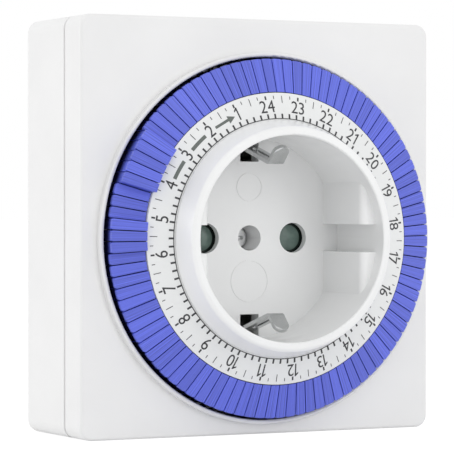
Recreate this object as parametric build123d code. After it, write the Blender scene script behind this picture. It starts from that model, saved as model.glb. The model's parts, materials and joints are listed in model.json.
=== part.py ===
from build123d import *
import math
import os

# Plug-in 24-hour timer switch. One STEP file per sub-part, in millimetres.
# The origin is the centre of the plug's contact face, between the two pins. +Y points along
# the pins to the rear, -Y to the user, +Z is up, and the dial turns about the Y axis.

# Radii build outwards from the pin spacing: recess, cup, dial, segments, opening and body.
# Levels count forwards from the front face, and build backwards from the segments' legs.

# ---- Plug -------------------------------------------------------------------------------
pin_spacing = 19.0
pin_radius = 2.4
pin_length = 19.0
pin_tip_round = 1.6
pin_relief = 0.2
pin_well_gap = 0.25
pin_well_depth = 0.8
pin_tail_radius = 2.1
pin_shoulder_radius = 3.3
pin_shoulder_length = 1.6
pin_inner_length = 6.0
hub_depth = 17.0
hub_inset = 0.9
hub_wall = 2.0
hub_face_thickness = 3.0
hub_round = 0.8
hub_flat_gap = 0.3
hub_rib_gap = 0.6
earth_groove_width = 6.0
earth_groove_depth = 2.6
earth_slot_height = 1.0

# ---- Socket recess ----------------------------------------------------------------------
recess_margin = 9.9
recess_depth = 18.0
rim_height = 11.2
rim_width = 1.6
rim_inner_round = 0.3
rim_outer_round = 0.8
cup_wall = 2.1
flank_overhang = 0.9
flange_step = 0.15
floor_thickness = 3.0
pin_hole_radius = 2.9
pin_hole_depth = 1.5
side_block_depth = 3.2
side_block_drop = 2.8
side_block_round = 1.3
key_groove_width = 5.3
clip_slot_depth = 4.7
clip_slot_width = 4.0
floor_ring_width = 0.2
floor_ring_height = 0.12
upper_ring_radius = 2.77
upper_ring_z = 9.8
lower_ring_radius = 4.05
lower_ring_z = -8.3
screw_tube_radius = 3.6
screw_tube_bore = 2.45
screw_tube_length = 12.0
screw_recess = 6.7
pocket_margin = 0.9

# ---- Dial and segments ------------------------------------------------------------------
hours = 24
segments_per_hour = 4
hour_24_clock = -6.3
dial_clearance = 0.2
scale_width = 5.85
scale_level = 6.35
scale_line_inset = 0.93
scale_slope = 0.275
scale_thickness = 1.5
sleeve_wall = 1.6
sleeve_stand_out = 0.4
guide_wall = 1.45
guide_clearance = 0.15
segment_length = 6.34
segment_gap = 0.2
segment_level = 4.96
segment_slope = 0.313
segment_base_level = -3.0
segment_plate = 0.8
segment_undercut = 0.44
segment_corner_round = 0.35
leg_offset = 2.3
leg_length = 3.0
leg_width = 1.2
leg_depth = 6.0
toe_offset = 0.7
toe_height = 1.1
lowest_setting = 0.5
highest_setting = 1.9
carrier_drop = 0.1
carrier_thickness = 1.6
carrier_rim = 0.8
notch_clearance = 0.12

# ---- Body -------------------------------------------------------------------------------
opening_clearance = 0.41
lip_width = 0.85
lip_height = 1.45
lip_round = 0.36
margin_left = 3.35
margin_right = 0.55
margin_top = 6.35
margin_bottom = 1.9
cover_depth = 7.6
corner_radius = 2.4
wall = 1.8
front_round = 0.6
back_round = 1.5
seam_groove = 0.6
seam_round = 0.2

# ---- Gear train -------------------------------------------------------------------------
pressure_angle = 25.0
backlash = 0.16
dial_teeth = 64
idler_teeth = 12
tooth_inset = 1.2
wheel_module = 0.6
wheel_teeth = 24
pinion_teeth = 10
gear_gap = 0.9
gear_width = 2.8
wheel_width = 1.3
wheel_gap = 0.5
gear_step = 0.3
idler_axle_radius = 1.2
idler_axle_collar = 1.4
pinion_shaft_radius = 0.8
pinion_shaft_depth = 1.5
running_clearance = 0.05
motor_plate_thickness = 1.0
motor_ear_radius = 2.4
motor_clock = -41.5
motor_gap = 0.3
motor_boss_gap = 1.2
motor_edge_round = 0.8
motor_seat_wall = 1.2
motor_seat_height = 3.0
bearing_tube_wall = 1.4
bearing_clearance = 0.5
bearing_end_gap = 0.15

# ---- Switch, lever and slider -----------------------------------------------------------
lever_clock = 128.0
pivot_offset = 3.6
lever_gap = 0.25
lever_thickness = 1.2
lever_width = 3.2
lever_pin_radius = 0.75
lever_pin_drop = 0.3
lever_barrel_radius = 1.6
lug_thickness = 1.5
lug_gap = 0.2
finger_thickness = 1.5
plunger_arm = 3.5
plunger_radius = 0.9
plunger_stand_out = 1.15
plunger_depth = 1.8
plunger_room = 0.8
plunger_inset = 1.8
finger_gap = 0.12
switch_drop = 4.75
switch_length = 10.2
switch_width = 5.8
switch_height = 6.1
switch_room = 2.2
switch_round = 0.4
switch_seat_length = 4.4
switch_seat_wall = 1.1
switch_seat_lip = 2.5
terminal_inset = 0.9
terminal_width = 2.0
terminal_length = 1.6
ear_width = 1.4
ear_reach = 4.2
ear_pad = 1.8
ear_rise = 1.15
slider_travel = 3.0
slider_press = 0.5
slider_clearance = 0.25
slider_wall_gap = 0.15
slider_plate = 1.3
slider_arm_thickness = 1.15
slider_length = 10.0
slider_height = 6.0
slider_drop = 4.0
slider_rise = 4.13
slider_knob_length = 6.0
slider_knob_height = 4.6
slider_knob_round = 0.4
slider_stand_out = 0.9
slider_window_gap = 0.3
slider_grips = 3
slider_grip_pitch = 1.5
slider_grip_width = 0.6
slider_grip_depth = 0.25
ramp_lead = 0.1
ramp_end = 0.2

# ---- Contacts, carrier and shutter ------------------------------------------------------
sheet = 0.6
tulip_radius = 3.5
tulip_bore = 2.45
tulip_length = 10.5
tulip_slit = 0.8
tulip_ring = 2.5
contact_strip_width = 4.0
contact_eyelet = 1.2
live_tab_shift = 0.7
live_tab_z = -6.0
live_tab_width = 2.0
pocket_wall = 1.0
pocket_clearance = 0.3
pocket_length = 6.0
carrier_plate = 1.8
carrier_fit = 0.15
shutter_thickness = 0.6
shutter_pad_radius = 3.4
shutter_cap_radius = 2.5
shutter_cap_side = 0.3
shutter_dome_height = 0.36
shutter_gap = 0.12
shutter_hub_radius = 5.4
shutter_bridge = 3.4
shutter_turn = 42.0
stop_radius = 0.7
stop_gap = 0.1
spring_wire = 0.4
spring_radius = 4.5
spring_arc = 300
clip_width = 3.2
clip_thickness = 0.75
clip_apex_depth = 5.0
clip_apex_level = 3.8
clip_tip_depth = 2.0
clip_tip_level = 6.9
clip_tip_round = 1.55
clip_floor_depth = 2.05
clip_bend_round = 0.7
clip_root_level = -12.0
clip_root_length = 4.5
clip_slit_width = 0.8
clip_slit_front = 2.2
clip_slit_back = -5.2
strap_width = 5.0
strap_inset = 0.5
strap_ring = 1.6
strap_tube_gap = 0.3
strap_root_lap = 1.5
earth_contact_gap = 0.15
earth_contact_end = 1.6

# ---- Wires inside the body --------------------------------------------------------------
lead_radius = 0.75
lead_spacing = 2.8
lead_height = 1.4
lead_end_gap = 0.25
lead_end_shift = 0.9
lead_end_run = 4.0
lead_notch_margin = 0.7
lead_notch_depth = 4.6
feed_lead_inset = 4.4
switched_lead_inset = 3.9
motor_lead_inset = 3.4

# ---- Fasteners --------------------------------------------------------------------------
screw_inset = 5.2
boss_radius = 2.7
screw_radius = 1.3
screw_hole_radius = 1.5
screw_head_radius = 2.4
screw_head_height = 1.8
screw_head_gap = 0.2
screw_sink = 3.0
screw_grip = 4.6
screw_end_gap = 0.4
centre_head_height = 1.5
centre_head_gap = 0.25
centre_head_round = 0.5
centre_screw_grip = 8.0
drive_radius = 1.1
centre_drive_radius = 1.3
drive_depth = 0.9
drive_slot = 0.7
drive_taper = 12.0

# ---- Derived radii and body -------------------------------------------------------------
pin_x = pin_spacing / 2
recess_radius = pin_x + recess_margin
hub_radius = recess_radius - hub_inset
earth_groove_floor = hub_radius - earth_groove_depth
side_block_flat = recess_radius - side_block_depth
clip_slot_inner = recess_radius - clip_slot_depth
cup_radius = recess_radius + cup_wall
dial_bore = cup_radius + dial_clearance
sleeve_radius = dial_bore + sleeve_wall
scale_line_radius = dial_bore + scale_line_inset
scale_outer_radius = dial_bore + scale_width
segment_inner_radius = scale_outer_radius + guide_clearance
segment_outer_radius = segment_inner_radius + segment_length
toe_inner_radius = segment_inner_radius + toe_offset
leg_inner_radius = segment_inner_radius + leg_offset
leg_outer_radius = leg_inner_radius + leg_length
carrier_radius = leg_outer_radius + carrier_rim
opening_radius = segment_outer_radius + opening_clearance
lip_outer_radius = opening_radius + lip_width
body_left = -lip_outer_radius - margin_left
body_right = lip_outer_radius + margin_right
body_top = lip_outer_radius + margin_top
body_bottom = -lip_outer_radius - margin_bottom
segment_count = hours * segments_per_hour
pitch_deg = 360.0 / segment_count

# ---- Derived levels and depths ----------------------------------------------------------
floor_level = rim_height - recess_depth
carrier_level = segment_base_level - lowest_setting - carrier_drop
leg_end_level = segment_base_level - leg_depth
gear_front_level = leg_end_level - lowest_setting - gear_gap
gear_back_level = gear_front_level - gear_width
sleeve_end_level = gear_back_level - sleeve_stand_out
wheel_front_level = gear_back_level - gear_step
wheel_back_level = wheel_front_level - wheel_width
motor_plate_level = wheel_back_level - wheel_gap
motor_front_level = motor_plate_level - motor_plate_thickness
lever_front_level = leg_end_level - lowest_setting - lever_gap
lever_back_level = lever_front_level - lever_thickness
switch_front_level = lever_back_level - switch_drop
ear_level = lever_front_level + ear_rise
slider_level = ear_level - slider_drop
back_y = -hub_depth
inner_back_y = back_y - wall
face_y = inner_back_y - switch_room - switch_height + switch_front_level
seam_y = face_y + cover_depth
lead_y = inner_back_y - lead_height


def at(level):
    """Y of a plane that stands level mm in front of the body's front face."""
    return face_y - level


def scale_top(radius):
    """Level of the conical scale surface at a radius."""
    return scale_level - scale_slope * (radius - scale_line_radius)


def segment_top(radius):
    """Level of a pushed-in segment's sloping top at a radius."""
    return segment_level - segment_slope * (radius - segment_inner_radius)


def clock_point(radius, clock):
    """X and Z of a point at a clock angle in degrees, clockwise from the top."""
    angle = math.radians(clock)
    return radius * math.sin(angle), radius * math.cos(angle)


def turn_to(clock, shape):
    """Turn a shape that was drawn towards +X about the dial axis to a clock angle."""
    return Rot(0, clock - 90, 0) * shape


def local_point(clock, radius, across):
    """X and Z of a point at a radius and a sideways distance, in the frame of turn_to."""
    angle = math.radians(clock - 90)
    x = radius * math.cos(angle) + across * math.sin(angle)
    z = -radius * math.sin(angle) + across * math.cos(angle)
    return x, z


def prism(sketch, y_front, y_back):
    """Extrude a sketch drawn in X and Z between two Y planes."""
    plane = Plane(origin=(0, y_back, 0), x_dir=(1, 0, 0), z_dir=(0, -1, 0))
    return extrude(plane * sketch, amount=y_back - y_front)


def turned(points, x=0.0, z=0.0):
    """Turn a closed outline of (radius, y) points about an axis along Y."""
    outline = make_face(Polyline(*points, close=True))
    return Pos(x, 0, z) * revolve(outline, axis=Axis.Y)


def rod(radius, y_front, y_back, x=0.0, z=0.0):
    """A round bar along Y."""
    return prism(Pos(x, z) * Circle(radius), y_front, y_back)


def tube(outer, inner, y_front, y_back, x=0.0, z=0.0):
    """A round tube along Y."""
    return prism(Pos(x, z) * (Circle(outer) - Circle(inner)), y_front, y_back)


def block(x_low, x_high, y_low, y_high, z_low, z_high):
    """A box between two corners."""
    size = (x_high - x_low, y_high - y_low, z_high - z_low)
    return Pos(x_low, y_low, z_low) * Box(*size, align=(Align.MIN, Align.MIN, Align.MIN))


def edges_at(shape, y):
    """The edges of a shape that lie in a plane across Y."""
    return shape.edges().filter_by_position(Axis.Y, y - 0.01, y + 0.01)


def body_outline(inset):
    """The body's front view, inset all round."""
    width = body_right - body_left - 2 * inset
    height = body_top - body_bottom - 2 * inset
    outline = RectangleRounded(width, height, corner_radius - inset)
    return Pos((body_left + body_right) / 2, (body_bottom + body_top) / 2) * outline


def screw_points():
    """X and Z of the four corner screws."""
    return [
        (x, z)
        for x in (body_left + screw_inset, body_right - screw_inset)
        for z in (body_bottom + screw_inset, body_top - screw_inset)
    ]


def cross_drive(y_head, into, reach, x=0.0, z=0.0):
    """Tapered cross recess; it starts at y_head and goes along +Y or -Y as into is 1 or -1."""
    arm = Rectangle(2 * reach, drive_slot) + Rectangle(drive_slot, 2 * reach)
    plane = Plane(origin=(x, y_head, z), x_dir=(1, 0, 0), z_dir=(0, into, 0))
    return extrude(plane * arm, amount=drive_depth, taper=drive_taper)


parts = {}

# ---- Front cover ------------------------------------------------------------------------


def make_front_cover():
    groove_y = seam_y - seam_groove
    shell = prism(body_outline(0), face_y, groove_y)
    shell = fillet(edges_at(shell, face_y), front_round)
    shell = fillet(edges_at(shell, groove_y), seam_round)
    shell += prism(body_outline(seam_groove), groove_y, seam_y)
    shell -= prism(body_outline(wall), face_y + wall, seam_y)
    bosses = Sketch() + [Pos(x, z) * Circle(boss_radius) for x, z in screw_points()]
    shell += prism(bosses, face_y + wall / 2, seam_y)
    holes = Sketch() + [Pos(x, z) * Circle(screw_radius) for x, z in screw_points()]
    shell -= prism(holes, seam_y - screw_grip - screw_end_gap, seam_y)
    lip = turned([
        (opening_radius, face_y + wall / 2),
        (opening_radius, at(lip_height)),
        (lip_outer_radius, at(lip_height)),
        (lip_outer_radius, face_y + wall / 2),
    ])
    lip = fillet(edges_at(lip, at(lip_height)), lip_round)
    return shell + lip - prism(Circle(opening_radius), at(lip_height + 1), seam_y)


parts["front_cover"] = make_front_cover()

# ---- Rear housing with the plug hub -----------------------------------------------------


def hub_outline():
    """Round hub with flats and a key rib at its sides and earth grooves above and below."""
    flat = side_block_flat - hub_flat_gap
    rib = key_groove_width - hub_rib_gap
    outline = Circle(hub_radius) & Rectangle(2 * flat, 2 * hub_radius)
    outline += Circle(hub_radius) & Rectangle(2 * hub_radius, rib)
    for side in (1, -1):
        groove = Rectangle(earth_groove_width, 2 * earth_groove_depth)
        outline -= Pos(0, side * hub_radius) * groove
    return outline


def hub_inside():
    """The hub's hollow, a wall inside its flats and grooves."""
    half = earth_groove_floor - wall
    return Circle(hub_radius - hub_wall) & Rectangle(2 * half, 2 * half)


bearing_tube_inner = cup_radius + bearing_clearance
bearing_tube_radius = bearing_tube_inner + bearing_tube_wall
bearing_tube_y = at(sleeve_end_level) + bearing_end_gap
corner_boss_distance = math.hypot(body_left + screw_inset, body_top - screw_inset)
motor_room = corner_boss_distance - boss_radius - motor_boss_gap - bearing_tube_radius - motor_gap
motor_radius = motor_room / 2
motor_distance = bearing_tube_radius + motor_gap + motor_radius
motor_x, motor_z = clock_point(motor_distance, motor_clock)
lever_front_y = at(lever_front_level)
lever_back_y = at(lever_back_level)
lever_axis_y = (lever_front_y + lever_back_y) / 2 + lever_pin_drop
lug_inner = lever_width / 2 + lug_gap
pivot_radius = leg_outer_radius + pivot_offset
plunger_r = pivot_radius - plunger_arm
switch_outer_radius = plunger_r + plunger_inset
switch_inner_radius = switch_outer_radius - switch_length
plunger_front_y = at(switch_front_level) - plunger_stand_out
ear_radius = pivot_radius - lever_barrel_radius - lug_gap - ear_width / 2
ear_end = lever_width / 2 + ear_reach
ear_z = local_point(lever_clock, ear_radius, ear_end - ear_pad / 2)[1]
slider_z = ear_z + slider_rise


def make_lever_lugs():
    lugs = Part()
    for side in (1, -1):
        z_low, z_high = sorted((side * lug_inner, side * (lug_inner + lug_thickness)))
        post = block(
            pivot_radius - lever_barrel_radius,
            pivot_radius + lever_barrel_radius,
            lever_axis_y,
            inner_back_y,
            z_low,
            z_high,
        )
        cap = Pos(pivot_radius, lever_axis_y, (z_low + z_high) / 2)
        cap *= Cylinder(lever_barrel_radius, lug_thickness)
        lugs += post + cap
    length = 2 * (lug_inner + lug_thickness)
    bore = Pos(pivot_radius, lever_axis_y, 0) * Cylinder(lever_pin_radius, length)
    return turn_to(lever_clock, lugs - bore)


def make_switch_seat():
    """Block under the outer half of the switch, with a low wall each side."""
    outer = switch_outer_radius
    inner = outer - switch_seat_length
    half = switch_width / 2
    side_half = half + switch_seat_wall
    floor_y = at(switch_front_level - switch_height)
    seat = block(inner, outer, floor_y, inner_back_y, -side_half, side_half)
    for side in (1, -1):
        z_low, z_high = sorted((side * (half + running_clearance), side * side_half))
        seat += block(inner, outer, floor_y - switch_seat_lip, floor_y, z_low, z_high)
    return turn_to(lever_clock, seat)


def make_motor_seat():
    """Ring wall that holds the motor can from the side, open towards the dial axis."""
    ring = Circle(motor_radius + motor_seat_wall) - Circle(motor_radius + running_clearance)
    side = Pos(-motor_radius, motor_radius) * Rectangle(2.4 * motor_radius, 1.3 * motor_radius)
    wall_sketch = Pos(motor_x, motor_z) * (ring & side)
    return prism(wall_sketch, inner_back_y - motor_seat_height, inner_back_y)


def lead_notch(inner, outer):
    """Block that opens a wall between two radii for a pair of wires, drawn towards +X."""
    half = lead_spacing / 2 + lead_radius + lead_notch_margin / 2
    notch = block(inner, outer, inner_back_y - lead_notch_depth, inner_back_y, -half, half)
    return turn_to(lever_clock, notch) + turn_to(motor_clock, notch)


def make_rear_housing():
    shell = prism(body_outline(0), seam_y, back_y)
    shell = fillet(edges_at(shell, back_y), back_round)
    shell = fillet(edges_at(shell, seam_y), seam_round)
    shell -= prism(body_outline(wall), seam_y, inner_back_y)
    hub = prism(hub_outline(), back_y - wall / 2, 0)
    shell += fillet(edges_at(hub, 0), hub_round)
    shell -= prism(hub_inside(), inner_back_y, -hub_face_thickness)
    shell += tube(bearing_tube_radius, bearing_tube_inner, bearing_tube_y, inner_back_y)
    shell -= lead_notch(bearing_tube_inner - 1, bearing_tube_radius + 1)
    shell += rod(screw_tube_radius, at(floor_level) + screw_tube_length, -hub_face_thickness)
    tube_end_y = at(floor_level) + screw_tube_length
    shell -= rod(screw_radius, tube_end_y, tube_end_y + centre_screw_grip + 1)
    for x, z in screw_points():
        shell += rod(boss_radius, seam_y, back_y - wall / 2, x, z)
        shell -= rod(screw_hole_radius, seam_y, back_y, x, z)
        shell -= rod(screw_head_radius + screw_head_gap, back_y - screw_sink, back_y, x, z)
    for side in (1, -1):
        shell -= rod(pin_tail_radius, -hub_face_thickness, 0, side * pin_x)
        shell -= rod(pin_radius + pin_well_gap, -pin_well_depth, 0, side * pin_x)
        slot_z = side * (earth_groove_floor + earth_slot_height / 2)
        slot = Pos(0, slot_z) * Rectangle(strap_width + 0.2, earth_slot_height)
        shell -= prism(slot, inner_back_y, back_y)
    shell += make_lever_lugs() + make_switch_seat() + make_motor_seat()
    window = block(
        body_right - wall - 1,
        body_right + 1,
        at(slider_level) - slider_knob_height / 2 - slider_window_gap,
        at(slider_level) + slider_knob_height / 2 + slider_window_gap,
        slider_z - slider_knob_length / 2 - slider_travel - slider_window_gap,
        slider_z + slider_knob_length / 2 + slider_window_gap,
    )
    return shell - window


parts["rear_housing"] = make_rear_housing()

# ---- Socket cup -------------------------------------------------------------------------

floor_y = at(floor_level)
floor_back_y = floor_y + floor_thickness
flange_level = scale_top(dial_bore) + flange_step
flank_radius = cup_radius + flank_overhang
rim_outer = recess_radius + rim_width
pocket_radius = pin_x + shutter_pad_radius + pocket_margin


def make_socket_cup():
    cup = turned([
        (0, floor_y),
        (recess_radius, floor_y),
        (recess_radius, at(rim_height)),
        (rim_outer, at(rim_height)),
        (flank_radius, at(flange_level)),
        (cup_radius, at(flange_level)),
        (cup_radius, inner_back_y),
        (recess_radius, inner_back_y),
        (recess_radius, floor_back_y),
        (0, floor_back_y),
    ])
    for index, radius in ((0, rim_inner_round), (-1, rim_outer_round)):
        rim_edges = edges_at(cup, at(rim_height))
        cup = fillet(rim_edges.sort_by(SortBy.RADIUS)[index], radius)
    block_y = at(rim_height - side_block_drop)
    clear = 3 * recess_radius
    segment = Circle(recess_radius + cup_wall / 2) - Rectangle(2 * side_block_flat, clear)
    blocks = prism(segment, block_y, floor_y + 0.5)
    blocks = fillet(edges_at(blocks, block_y).filter_by(Axis.Z), side_block_round)
    key = Circle(recess_radius) & Rectangle(clear, key_groove_width)
    cup += blocks - prism(key, block_y - 1, floor_y)
    rings = Sketch()
    for radius, z in ((upper_ring_radius, upper_ring_z), (lower_ring_radius, lower_ring_z)):
        rings += Pos(0, z) * (Circle(radius) - Circle(radius - floor_ring_width))
    cup += prism(rings, floor_y - floor_ring_height, floor_y)
    cup += rod(screw_tube_radius, floor_y, floor_y + screw_tube_length)
    cup -= tube(pocket_radius, screw_tube_radius, floor_y + pin_hole_depth, floor_back_y)
    cup -= rod(screw_tube_bore, floor_y, floor_y + screw_recess)
    cup -= rod(screw_hole_radius, floor_y, floor_y + screw_tube_length)
    slot = Rectangle(clip_slot_width, 2 * recess_radius)
    slot -= Rectangle(clip_slot_width, 2 * clip_slot_inner)
    cup -= prism(slot & Circle(recess_radius), floor_y, floor_back_y)
    for side in (1, -1):
        cup -= rod(pin_hole_radius, floor_y, floor_back_y, side * pin_x)
    return cup - lead_notch(recess_radius - 1, cup_radius + 1)


parts["socket_cup"] = make_socket_cup()

# ---- Dial ring --------------------------------------------------------------------------


def make_dial_ring():
    wall_inner = scale_outer_radius - guide_wall
    ring = turned([
        (dial_bore, at(scale_top(dial_bore))),
        (scale_outer_radius, at(scale_top(scale_outer_radius))),
        (scale_outer_radius, at(carrier_level)),
        (carrier_radius, at(carrier_level)),
        (carrier_radius, at(carrier_level - carrier_thickness)),
        (sleeve_radius, at(carrier_level - carrier_thickness)),
        (sleeve_radius, at(sleeve_end_level)),
        (dial_bore, at(sleeve_end_level)),
    ])
    ring -= turned([
        (sleeve_radius, at(scale_top(sleeve_radius) - scale_thickness)),
        (wall_inner, at(scale_top(wall_inner) - scale_thickness)),
        (wall_inner, at(carrier_level)),
        (sleeve_radius, at(carrier_level)),
    ])
    inner = leg_inner_radius - notch_clearance
    notch = Pos((inner + carrier_radius) / 2 + 1, 0)
    notch *= Rectangle(carrier_radius - inner + 2, leg_width + 2 * notch_clearance)
    notches = Sketch() + [
        Rot(0, 0, 90 - segment_clock(index)) * notch for index in range(segment_count)
    ]
    return ring - prism(notches, at(carrier_level) - 0.5, at(carrier_level - carrier_thickness) + 0.5)


def segment_clock(index):
    """Clock angle of the segment for quarter-hour number index."""
    return hour_24_clock + (segment_count - index) * pitch_deg


parts["dial_ring"] = make_dial_ring()

# ---- Time segments ----------------------------------------------------------------------

# Setting of each quarter-hour segment above its usual pushed-in place, by quarter number.
settings = {index: highest_setting for index in range(13, 18)}
settings.update({index: -lowest_setting for index in range(18, 21)})
settings.update({index: 0.8 for index in range(21, 24)})
settings.update({24: -0.3, 25: -0.3, 28: -0.2})
single_hours = (3, 4)


def make_segment():
    """One segment, drawn towards +X in its usual pushed-in place."""
    half_pitch = math.radians(pitch_deg / 2)
    side_shift = segment_gap / 2 / math.cos(half_pitch)
    inner = segment_inner_radius - 1
    outer = segment_outer_radius + 1
    wedge = make_face(Polyline(
        (inner, inner * math.tan(half_pitch) - side_shift),
        (outer, outer * math.tan(half_pitch) - side_shift),
        (outer, side_shift - outer * math.tan(half_pitch)),
        (inner, side_shift - inner * math.tan(half_pitch)),
        close=True,
    ))
    wedge &= Circle(segment_outer_radius) - Circle(segment_inner_radius)
    wedge = fillet(wedge.vertices().group_by(Axis.X)[-1], segment_corner_round)
    profile = make_face(Polyline(
        (segment_inner_radius - 1, at(segment_top(segment_inner_radius - 1))),
        (segment_outer_radius + 1, at(segment_top(segment_outer_radius + 1))),
        (segment_outer_radius + 1, at(segment_base_level)),
        (segment_inner_radius - 1, at(segment_base_level)),
        close=True,
    ))
    head = extrude(profile, amount=2, both=True)
    head &= prism(wedge, at(segment_level + 2), at(segment_base_level))
    below = at(segment_top(segment_outer_radius) - segment_plate)
    inside = segment_outer_radius - segment_undercut
    head -= tube(segment_outer_radius + 1, inside, below, at(segment_base_level))
    leg = make_face(Polyline(
        (leg_inner_radius, at(segment_base_level)),
        (leg_outer_radius, at(segment_base_level)),
        (leg_outer_radius, at(leg_end_level)),
        (toe_inner_radius, at(leg_end_level)),
        (toe_inner_radius, at(leg_end_level + toe_height)),
        (leg_inner_radius, at(leg_end_level + toe_height)),
        close=True,
    ))
    return head + extrude(leg, amount=leg_width / 2, both=True)


def segment_name(hour, quarter):
    return f"segment_{hour:02d}_{quarter * 60 // segments_per_hour:02d}"


def make_segments():
    pattern = make_segment()
    for hour in range(hours):
        group = []
        for quarter in range(segments_per_hour):
            index = hour * segments_per_hour + quarter
            moved = Pos(0, -settings.get(index, 0.0), 0) * pattern
            group.append(turn_to(segment_clock(index), moved))
        if hour in single_hours:
            for quarter, segment in enumerate(group):
                parts[segment_name(hour, quarter)] = segment
        else:
            parts[f"segments_hour_{hour:02d}"] = Compound(children=group)


make_segments()

# ---- Gear train -------------------------------------------------------------------------


def gear_sketch(module, teeth, tooth_angle):
    """Spur gear outline with involute flanks; one tooth is centred at tooth_angle degrees."""
    pitch_radius = module * teeth / 2
    base_radius = pitch_radius * math.cos(math.radians(pressure_angle))
    tip_radius = pitch_radius + 0.8 * module
    root_radius = pitch_radius - module

    def involute(radius):
        turn = math.acos(min(1.0, base_radius / radius))
        return math.tan(turn) - turn

    half_tooth = math.pi / (2 * teeth) - backlash / 2 / (2 * pitch_radius)
    radii = (max(root_radius, base_radius), pitch_radius, tip_radius)
    widths = [half_tooth + involute(pitch_radius) - involute(radius) for radius in radii]
    points = []
    for tooth in range(teeth):
        centre = math.radians(tooth_angle) + tooth * 2 * math.pi / teeth
        flank = [(root_radius, widths[0])] + list(zip(radii, widths))
        if root_radius >= base_radius:
            flank = flank[1:]
        flank = [(radius, -width) for radius, width in flank] + flank[::-1]
        points += [
            (radius * math.cos(centre + turn), radius * math.sin(centre + turn))
            for radius, turn in flank
        ]
    return make_face(Polyline(*points, close=True))


def angle_between(start, end):
    """Angle in the front view of the line from start to end, in degrees from +X to +Z."""
    return math.degrees(math.atan2(end[1] - start[1], end[0] - start[0]))


dial_pitch_radius = leg_inner_radius - tooth_inset
dial_module = 2 * dial_pitch_radius / dial_teeth
idler_distance = dial_pitch_radius + dial_module * idler_teeth / 2
pinion_distance = wheel_module * (wheel_teeth + pinion_teeth) / 2
motor_to_idler = math.acos(
    (motor_distance**2 + idler_distance**2 - pinion_distance**2)
    / (2 * motor_distance * idler_distance)
)
idler_clock = motor_clock + math.degrees(motor_to_idler)
idler_x, idler_z = clock_point(idler_distance, idler_clock)
dial_to_idler = angle_between((0, 0), (idler_x, idler_z))
idler_to_motor = angle_between((idler_x, idler_z), (motor_x, motor_z))


def make_dial_gear():
    gear = gear_sketch(dial_module, dial_teeth, dial_to_idler) - Circle(sleeve_radius)
    return prism(gear, at(gear_front_level), at(gear_back_level))


def make_idler_gear():
    pinion_angle = dial_to_idler + 180 + 180 / idler_teeth
    pinion = gear_sketch(dial_module, idler_teeth, pinion_angle)
    wheel = gear_sketch(wheel_module, wheel_teeth, idler_to_motor)
    gear = prism(pinion, at(gear_front_level), at(wheel_front_level))
    gear += prism(wheel, at(wheel_front_level), at(wheel_back_level))
    gear -= rod(idler_axle_radius + running_clearance, at(0), at(wheel_back_level))
    return Pos(idler_x, 0, idler_z) * gear


def make_motor_pinion():
    pinion = gear_sketch(wheel_module, pinion_teeth, idler_to_motor + 180 + 180 / pinion_teeth)
    gear = prism(pinion, at(wheel_front_level), at(wheel_back_level))
    shaft_end = at(motor_front_level - pinion_shaft_depth)
    gear += rod(pinion_shaft_radius, at(wheel_front_level + 0.2), shaft_end)
    return Pos(motor_x, 0, motor_z) * gear


def make_motor_plate():
    ears = Circle(motor_radius)
    for turn in (100, 250):
        ears += Pos(*clock_point(motor_radius, turn + motor_clock)) * Circle(motor_ear_radius)
    plate = Pos(motor_x, motor_z) * (ears - Circle(pinion_shaft_radius + running_clearance))
    foot = Pos(idler_x, idler_z) * Circle(idler_axle_radius + idler_axle_collar)
    plate = plate + foot - Pos(idler_x, idler_z) * Circle(idler_axle_radius)
    return prism(plate, at(motor_plate_level), at(motor_front_level))


parts["dial_gear"] = make_dial_gear()
parts["idler_gear"] = make_idler_gear()
parts["idler_axle"] = rod(
    idler_axle_radius, at(gear_front_level + 0.3), at(motor_front_level), idler_x, idler_z
)
parts["motor_pinion"] = make_motor_pinion()
parts["motor_plate"] = make_motor_plate()


def make_motor_can():
    can = rod(motor_radius, at(motor_front_level), inner_back_y, motor_x, motor_z)
    can = fillet(can.edges().group_by(Axis.Y)[-1], motor_edge_round)
    return can - rod(
        pinion_shaft_radius + running_clearance,
        at(motor_front_level),
        at(motor_front_level - pinion_shaft_depth) + 0.2,
        motor_x,
        motor_z,
    )


parts["motor_can"] = make_motor_can()

# ---- Switch, lever and slider -----------------------------------------------------------


def make_follower_lever():
    half = lever_width / 2
    arm = block(leg_inner_radius, pivot_radius, lever_front_y, lever_back_y, -half, half)
    arm += Pos(pivot_radius, lever_axis_y, 0) * Cylinder(lever_barrel_radius, lever_width)
    arm += block(
        plunger_r - finger_thickness / 2,
        plunger_r + finger_thickness / 2,
        lever_back_y,
        plunger_front_y - finger_gap,
        -half,
        half,
    )
    ear_inner = ear_radius - ear_width / 2
    ear_outer = ear_radius + ear_width / 2
    arm += block(ear_inner, ear_outer, lever_front_y, lever_back_y, 0, ear_end)
    arm += block(ear_inner, ear_outer, at(ear_level), lever_back_y, ear_end - ear_pad, ear_end)
    bore = Pos(pivot_radius, lever_axis_y, 0)
    arm -= bore * Cylinder(lever_pin_radius + running_clearance, lever_width + 2)
    return turn_to(lever_clock, arm)


def make_lever_pin():
    length = 2 * (lug_inner + lug_thickness)
    pin = Pos(pivot_radius, lever_axis_y, 0) * Cylinder(lever_pin_radius, length)
    return turn_to(lever_clock, pin)


def make_switch_case():
    half = switch_width / 2
    front = at(switch_front_level)
    case = block(
        switch_inner_radius,
        switch_outer_radius,
        front,
        front + switch_height,
        -half,
        half,
    )
    case = fillet(case.edges().filter_by(Axis.Y), switch_round)
    bore_end = front + plunger_depth + plunger_room
    case -= rod(plunger_radius + running_clearance, front, bore_end, plunger_r)
    return turn_to(lever_clock, case)


parts["follower_lever"] = make_follower_lever()
parts["lever_pin"] = make_lever_pin()
parts["switch_case"] = make_switch_case()
plunger_back_y = at(switch_front_level) + plunger_depth
plunger = rod(plunger_radius, plunger_front_y, plunger_back_y, plunger_r)
parts["switch_plunger"] = turn_to(lever_clock, plunger)


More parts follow.
